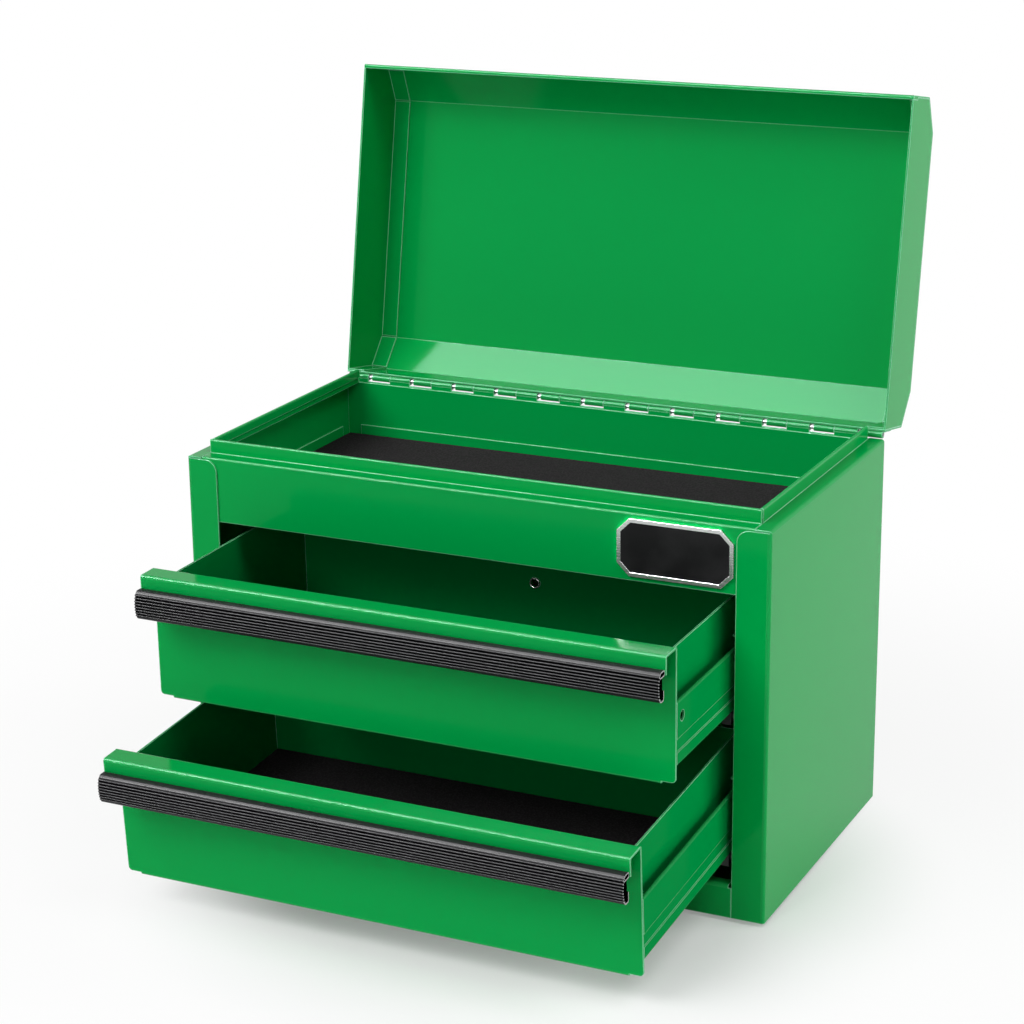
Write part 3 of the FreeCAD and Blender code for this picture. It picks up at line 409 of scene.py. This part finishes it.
# How each drawer stands open: it slides along its shoes, and the shoes tip about their pins.
# Lengths are in m, and the tip in degrees.
drawers = {
    "upper": {"ledge": 0.1594, "out": 0.0629, "tip": 0.65, "shoe": (0, -0.07205, 0.1000)},
    "lower": {"ledge": 0.0884, "out": 0.0988, "tip": 3.74, "shoe": (0, -0.07205, 0.0290)},
}


def addObject(bm, name, materials):
    mesh = bpy.data.meshes.new(name)
    bm.to_mesh(mesh)
    bm.free()
    for material in materials:
        mesh.materials.append(material)
    item = bpy.data.objects.new(name, mesh)
    bpy.context.collection.objects.link(item)
    return item


def drawOut(drawer):
    shoe = Matrix.Translation(drawer["shoe"])
    tipped = shoe @ Matrix.Rotation(radians(drawer["tip"]), 4, "X")
    return tipped @ Matrix.Translation((0, -drawer["out"], 0)) @ shoe.inverted()


# The ribbed pull: a hollow extrusion with a closed bead along its top and a thin back (m)
pull = {
    "halfWidth": 0.1324,
    "strip": -0.09275,  # y of the strip that carries it
    "drop": 0.006,  # below the drawer's ledge
    "height": 0.0142,
    "depth": 0.0052,  # from the strip to the wall
    "bulge": 0.0015,
    "wall": 0.0006,
    "wallCuts": 15,
    "bead": 0.003,  # height of the closed bead along its top
    "hookGap": 0.001,
    "hookHeight": 0.0048,
    "backInset": 0.0008,  # how far the back ends short of the sawn ends
    "bend": 0.0014,
    "bendSteps": 5,
    "ribs": 8,
    "ribSides": 16,
    "firstRib": 0.0019,  # below the channel's top
    "pitch": 0.00142,
    "ribWidth": 0.00084,
    "ribDepth": 0.0012,
    "ribRise": 0.0006,  # how far a rib stands before the wall
    "crease": 35,  # degrees, from which an edge shades sharp
}


def bulgeOf(drop):
    share = drop / pull["height"]
    return pull["bulge"] * 4 * share * (1 - share)


def isEnd(face):
    return abs(face.normal.x) >= 0.5


def sweepAcross(bm, made):
    # Moves the new end of an extrusion over to the pull's other end
    far = [item for item in made["geom"] if isinstance(item, bmesh.types.BMVert)]
    bmesh.ops.translate(bm, verts=far, vec=(2 * pull["halfWidth"], 0, 0))


def addChannel(bm, wallY, hookY, top):
    # Folds the channel's outer line, sweeps it across and thickens it. Gives back the faces painted
    # in shade: its inside and the wall between the ribs.
    strip, thickness = pull["strip"], pull["wall"]
    base, beadBase = top - pull["height"], top - pull["bead"]
    # from the wall round the bead, then down the wall to the hook
    line = [(wallY + thickness / 2, beadBase), (strip, beadBase), (strip, top), (wallY, top)]
    line += [(wallY, base), (hookY, base), (hookY, base + pull["hookHeight"])]
    dots = [bm.verts.new((-pull["halfWidth"], y, z)) for y, z in line]
    for first, second in zip(dots, dots[1:]):
        bm.edges.new((first, second))
    bmesh.ops.bevel(bm, geom=dots[1:-1], offset=pull["bend"], segments=pull["bendSteps"], profile=0.5,
                    material=-1, affect="VERTICES")
    bm.edges.ensure_lookup_table()
    wall = max(bm.edges, key=lambda edge: edge.calc_length())
    bmesh.ops.subdivide_edges(bm, edges=[wall], cuts=pull["wallCuts"])
    for dot in bm.verts:
        drop = top - dot.co.z
        if dot.co.y < wallY + pull["bend"]:
            dot.co.y -= bulgeOf(min(max(drop, 0), pull["height"]))
    sweepAcross(bm, bmesh.ops.extrude_edge_only(bm, edges=bm.edges[:]))
    bmesh.ops.recalc_face_normals(bm, faces=bm.faces)
    # the sheet's first side is its outer one: it gets its thickness inwards
    wallFace = min(bm.faces, key=lambda face: face.calc_center_median().y)
    if wallFace.normal.y > 0:
        bmesh.ops.reverse_faces(bm, faces=bm.faces)
    outside = set(bm.faces)
    bmesh.ops.solidify(bm, geom=bm.faces[:], thickness=thickness)
    shadedFaces = [face for face in bm.faces if face not in outside and not isEnd(face)]
    ribTop = top - pull["firstRib"]
    ribBase = ribTop - pull["pitch"] * (pull["ribs"] - 1)
    deep = [face for face in bm.faces if face.calc_center_median().y < wallY + thickness / 4]
    return shadedFaces + [face for face in deep if ribBase < face.calc_center_median().z < ribTop]


def addRib(bm, wallY, top, drop):
    # A round bar sunk in the wall
    face = wallY - bulgeOf(drop)
    middle = (-pull["halfWidth"], face - pull["ribRise"] + pull["ribDepth"] / 2, top - drop)
    size = Matrix.Diagonal((1, pull["ribDepth"], pull["ribWidth"], 1))
    place = Matrix.Translation(middle) @ size @ Matrix.Rotation(radians(90), 4, "Y")
    ring = bmesh.ops.create_circle(bm, cap_ends=True, segments=pull["ribSides"], radius=0.5,
                                   matrix=place)
    end = ring["verts"][0].link_faces[0]
    sweepAcross(bm, bmesh.ops.extrude_face_region(bm, geom=[end]))


def addBack(bm, hookY, top):
    # The thin back, from the hook up into the bead. Gives back its faces.
    thickness = pull["wall"]
    backBase = top - pull["height"] + pull["hookHeight"] - thickness
    backTop = top - pull["bead"] + thickness / 2
    middle = (0, hookY - thickness / 2, (backBase + backTop) / 2)
    width = 2 * (pull["halfWidth"] - pull["backInset"])
    place = Matrix.Translation(middle) @ Matrix.Diagonal((width, thickness, backTop - backBase, 1))
    back = bmesh.ops.create_cube(bm, size=1, matrix=place)["verts"]
    return {face for dot in back for face in dot.link_faces}


def makePull(name):
    drawer = drawers[name]
    wallY, hookY = pull["strip"] - pull["depth"], pull["strip"] - pull["hookGap"]
    top = drawer["ledge"] - pull["drop"]
    bm = bmesh.new()
    shadedFaces = addChannel(bm, wallY, hookY, top)
    for number in range(pull["ribs"]):
        addRib(bm, wallY, top, pull["firstRib"] + pull["pitch"] * number)
    shadedFaces += addBack(bm, hookY, top)
    bmesh.ops.recalc_face_normals(bm, faces=bm.faces)
    for face in bm.faces:
        face.smooth = not isEnd(face)
        face.material_index = 0 if face.smooth else 1
    # the near-black, unmirroring vinyl on these faces is painted shade
    for face in shadedFaces:
        face.material_index = 2
    for edge in bm.edges:
        edge.smooth = edge.calc_face_angle(0) < radians(pull["crease"])
    bmesh.ops.transform(bm, matrix=drawOut(drawer), verts=bm.verts)
    skins = (finishes["black_plastic"], sawnVinyl(), extrudedVinyl("grooveShade"))
    piece = addObject(bm, name + "RibbedPull", skins)
    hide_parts(name + "_pull_trim")
    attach(piece, name + "_drawer")


for name in drawers:
    makePull(name)
print("pulls made")


# An aluminium eyelet, its rim rolled over, lines the hole in each drawer's back
eyelet = {
    "x": 0.0045,
    "y": 0.04885,  # front of the hole's collar while the drawer is shut
    "below": 0.0314,  # the drawer's ledge
    "radius": 0.00245,  # to the middle of the rolled rim
    "rim": 0.0004,
    "rimSides": 12,
    "steps": 36,  # round the hole
}


def makeEyelet(name):
    drawer = drawers[name]
    middle = Vector((eyelet["x"], eyelet["y"], drawer["ledge"] - eyelet["below"]))
    bm = bmesh.new()
    start = Matrix.Translation(middle + Vector((eyelet["radius"], 0, 0)))
    bmesh.ops.create_circle(bm, segments=eyelet["rimSides"], radius=eyelet["rim"], matrix=start)
    bmesh.ops.spin(bm, geom=bm.verts[:] + bm.edges[:], cent=middle, axis=(0, 1, 0),
                   angle=radians(360), steps=eyelet["steps"], use_merge=True)
    bmesh.ops.recalc_face_normals(bm, faces=bm.faces)
    for face in bm.faces:
        face.smooth = True
    bmesh.ops.transform(bm, matrix=drawOut(drawer), verts=bm.verts)
    piece = addObject(bm, name + "PanEyelet", [finishes["bright_metal"]])
    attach(piece, name + "_drawer")


for name in drawers:
    makeEyelet(name)
print("eyelets made")


# A pale floor out to the horizon. Under the object it is lit as any floor is and takes the shadow,
# but a share of plain white paints light into that shadow, more of it further out; further out still
# it turns to plain white.
studio = {
    "floor": "#F0F0F0",
    "reach": 9.0,  # m
    "sides": 96,
    "middle": (0.03, -0.07, 0),  # of the shadow
    "whiteFrom": 0.6,  # m from that middle
    "shares": ((0.11, 0.25), (0.21, 0.87), (0.6, 1.0)),  # m from the middle, share of white
    "worldLevel": 0.11,
}

# Softboxes: where each stands, what it faces, its size in m and its power in W. The last two
# are seen only in reflections: they draw the gloss in the lid and the lines along the bends.
chest = (0, -0.05, 0.15)
lamps = {
    "key": {
        "place": (-0.65, -1.28, 1.45),
        "aim": chest,
        "size": (1.2, 0.9),
        "power": 26.5,
    },
    "high": {
        "place": (0.95, -0.39, 1.76),
        "aim": chest,
        "size": (0.8, 0.8),
        "power": 11.0,
    },
    "side": {
        "place": (1.76, 0.59, 0.48),
        "aim": chest,
        "size": (0.8, 0.8),
        "power": 16.5,
    },
    "fill": {
        "place": (0.25, -1.35, 0.62),
        "aim": chest,
        "size": (0.6, 0.6),
        "power": 3.0,
    },
    "gloss": {
        "place": (-0.68, -0.6, 1.42),
        "aim": (-0.68, -0.6, 0),
        "size": (0.96, 1.0),
        "power": 84.0,
    },
    "line": {
        "place": (-0.8, -1.44, 1.19),
        "aim": chest,
        "size": (2.4, 0.35),
        "power": 200.0,
    },
}
mirroredOnly = ("gloss", "line")


def seenPlainly(tree):
    # 1 for rays that show the background: straight, mirrored or through glass
    path = addNode(tree, "ShaderNodeLightPath")
    glossy = addNode(tree, "ShaderNodeMath", {
        0: path.outputs["Is Camera Ray"],
        1: path.outputs["Is Glossy Ray"],
    }, operation="MAXIMUM")
    through = addNode(tree, "ShaderNodeMath", {
        0: glossy.outputs["Value"],
        1: path.outputs["Is Transmission Ray"],
    }, operation="MAXIMUM")
    return through.outputs["Value"]


def floorPaint():
    material, tree, place = newMaterial("paintedStudioFloor")
    apart = addNode(tree, "ShaderNodeVectorMath", {
        0: place,
        1: studio["middle"],
    }, operation="DISTANCE")
    reach = spread(tree, apart.outputs["Value"], 0, 1, (0, studio["whiteFrom"]))
    far = addNode(tree, "ShaderNodeValToRGB", {"Fac": reach})
    far.color_ramp.interpolation = "EASE"
    stops = far.color_ramp.elements
    stops.new(0.5)
    for stop, (distance, level) in zip(stops, studio["shares"]):
        stop.position = distance / studio["whiteFrom"]
        stop.color = (level, level, level, 1)
    share = addNode(tree, "ShaderNodeMath", {
        0: far.outputs["Color"],
        1: seenPlainly(tree),
    }, operation="MULTIPLY")
    lit = addNode(tree, "ShaderNodeBsdfDiffuse", {"Color": paint(studio["floor"])})
    white = addNode(tree, "ShaderNodeEmission", {"Color": (1, 1, 1, 1), "Strength": 1.0})
    blend = addNode(tree, "ShaderNodeMixShader", {
        "Fac": share.outputs["Value"],
        1: lit.outputs[0],
        2: white.outputs[0],
    })
    closeMaterial(tree, blend)
    return material


def makeFloor():
    bm = bmesh.new()
    bmesh.ops.create_circle(bm, cap_ends=True, segments=studio["sides"], radius=studio["reach"])
    floor = addObject(bm, "studioFloor", [floorPaint()])


def makeWorld():
    world = bpy.data.worlds.new("studio")
    bpy.context.scene.world = world
    world.use_nodes = True
    tree = world.node_tree
    tree.nodes.clear()
    level = spread(tree, seenPlainly(tree), studio["worldLevel"], 1)
    sky = addNode(tree, "ShaderNodeBackground", {"Color": (1, 1, 1, 1), "Strength": level})
    addNode(tree, "ShaderNodeOutputWorld", {"Surface": sky.outputs[0]})


def makeLamp(name):
    lamp = lamps[name]
    data = bpy.data.lights.new(name, "AREA")
    data.shape = "RECTANGLE"
    data.size, data.size_y = lamp["size"]
    data.energy = lamp["power"]
    item = bpy.data.objects.new(name, data)
    bpy.context.collection.objects.link(item)
    way = Vector(lamp["aim"]) - Vector(lamp["place"])
    turn = way.to_track_quat("-Z", "Y").to_matrix().to_4x4()
    item.matrix_world = Matrix.Translation(lamp["place"]) @ turn
    item.visible_diffuse = name not in mirroredOnly


makeFloor()
makeWorld()
for name in lamps:
    makeLamp(name)
print("studio lit")

bpy.context.scene.view_settings.view_transform = "Standard"
